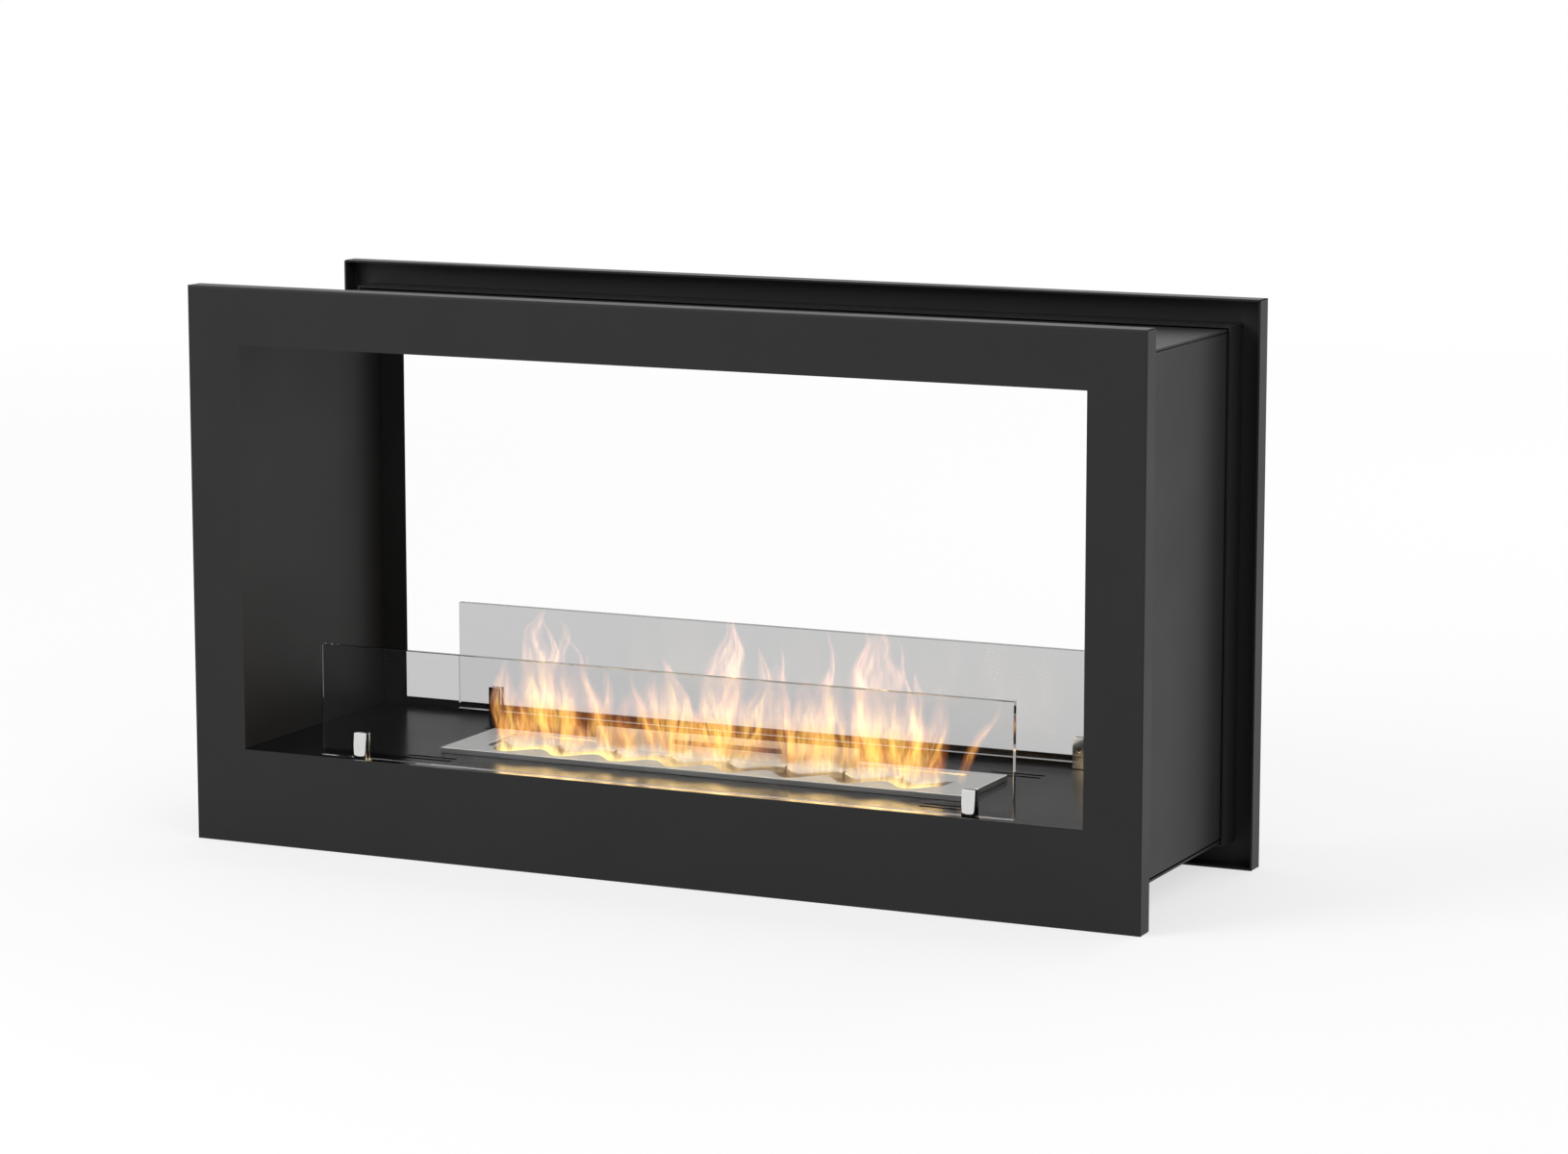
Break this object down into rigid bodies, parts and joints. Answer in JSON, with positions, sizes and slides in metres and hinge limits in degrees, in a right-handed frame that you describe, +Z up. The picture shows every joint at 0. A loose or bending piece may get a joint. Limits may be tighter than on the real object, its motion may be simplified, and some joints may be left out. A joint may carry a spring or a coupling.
{
  "type": "double-sided built-in fireplace",
  "caption": "See-through built-in fuel fireplace: two folded face frames on an open casing, glass screens in clips and a lift-out burner closed by a wavy-edged sliding lid.",
  "frame": {"origin": "bottom centre of the outline, on the plane that both face frames stand on", "axes": "+X to the right along the width seen from the front, +Y from the front face to the rear face, +Z up"},
  "size_m": [1, 0.324, 0.552],
  "materials": {
    "powder_coat": "satin black powder coat on folded steel sheet",
    "hearth_coat": "semi-gloss black heat-proof paint on steel sheet",
    "zinc_steel": "plain zinc-plated sheet",
    "brushed_stainless": "brushed along its length",
    "polished_stainless": "mirror polished",
    "screw_steel": "blackened screws",
    "toughened_glass": "clear toughened glass with ground arrises",
    "ceramic_wool": "absorbent ceramic-fibre wool"
  },
  "bodies": {
    "housing": {"front_face": "powder_coat", "rear_face": "powder_coat", "front_sleeve_top": "powder_coat", "front_sleeve_bottom": "powder_coat", "front_sleeve_left": "powder_coat", "front_sleeve_right": "powder_coat", "rear_sleeve_top": "powder_coat", "rear_sleeve_bottom": "powder_coat", "rear_sleeve_left": "powder_coat", "rear_sleeve_right": "powder_coat", "casing_top": "powder_coat", "casing_bottom": "powder_coat", "casing_left_side": "powder_coat", "casing_right_side": "powder_coat", "hearth_plate": "hearth_coat", "hearth_support_left": "zinc_steel", "hearth_support_right": "zinc_steel", "hearth_support_left_end": "zinc_steel", "hearth_support_right_end": "zinc_steel", "front_glass": "toughened_glass", "rear_glass": "toughened_glass", "glass_clip_front_left": "polished_stainless", "glass_clip_front_right": "polished_stainless", "glass_clip_rear_left": "polished_stainless", "glass_clip_rear_right": "polished_stainless", "clamp_screw_front_left": "screw_steel", "clamp_screw_front_right": "screw_steel", "clamp_screw_rear_left": "screw_steel", "clamp_screw_rear_right": "screw_steel", "clip_bolt_front_left": "screw_steel", "clip_bolt_front_right": "screw_steel", "clip_bolt_rear_left": "screw_steel", "clip_bolt_rear_right": "screw_steel"},
    "burner": {"burner_flange": "brushed_stainless", "fuel_tank": "brushed_stainless", "burner_deck": "brushed_stainless", "ceramic_wool": "ceramic_wool"},
    "slider": {"slider_lid": "brushed_stainless", "slider_handle": "brushed_stainless"}
  },
  "joints": [
    {"name": "burner_lift", "type": "slide", "parent": "housing", "child": "burner", "axis": [0, 0, 1], "range_m": [0, 0.06]},
    {"name": "lid_slide", "type": "slide", "parent": "burner", "child": "slider", "axis": [0, -1, 0], "range_m": [0, 0.0302]}
  ]
}
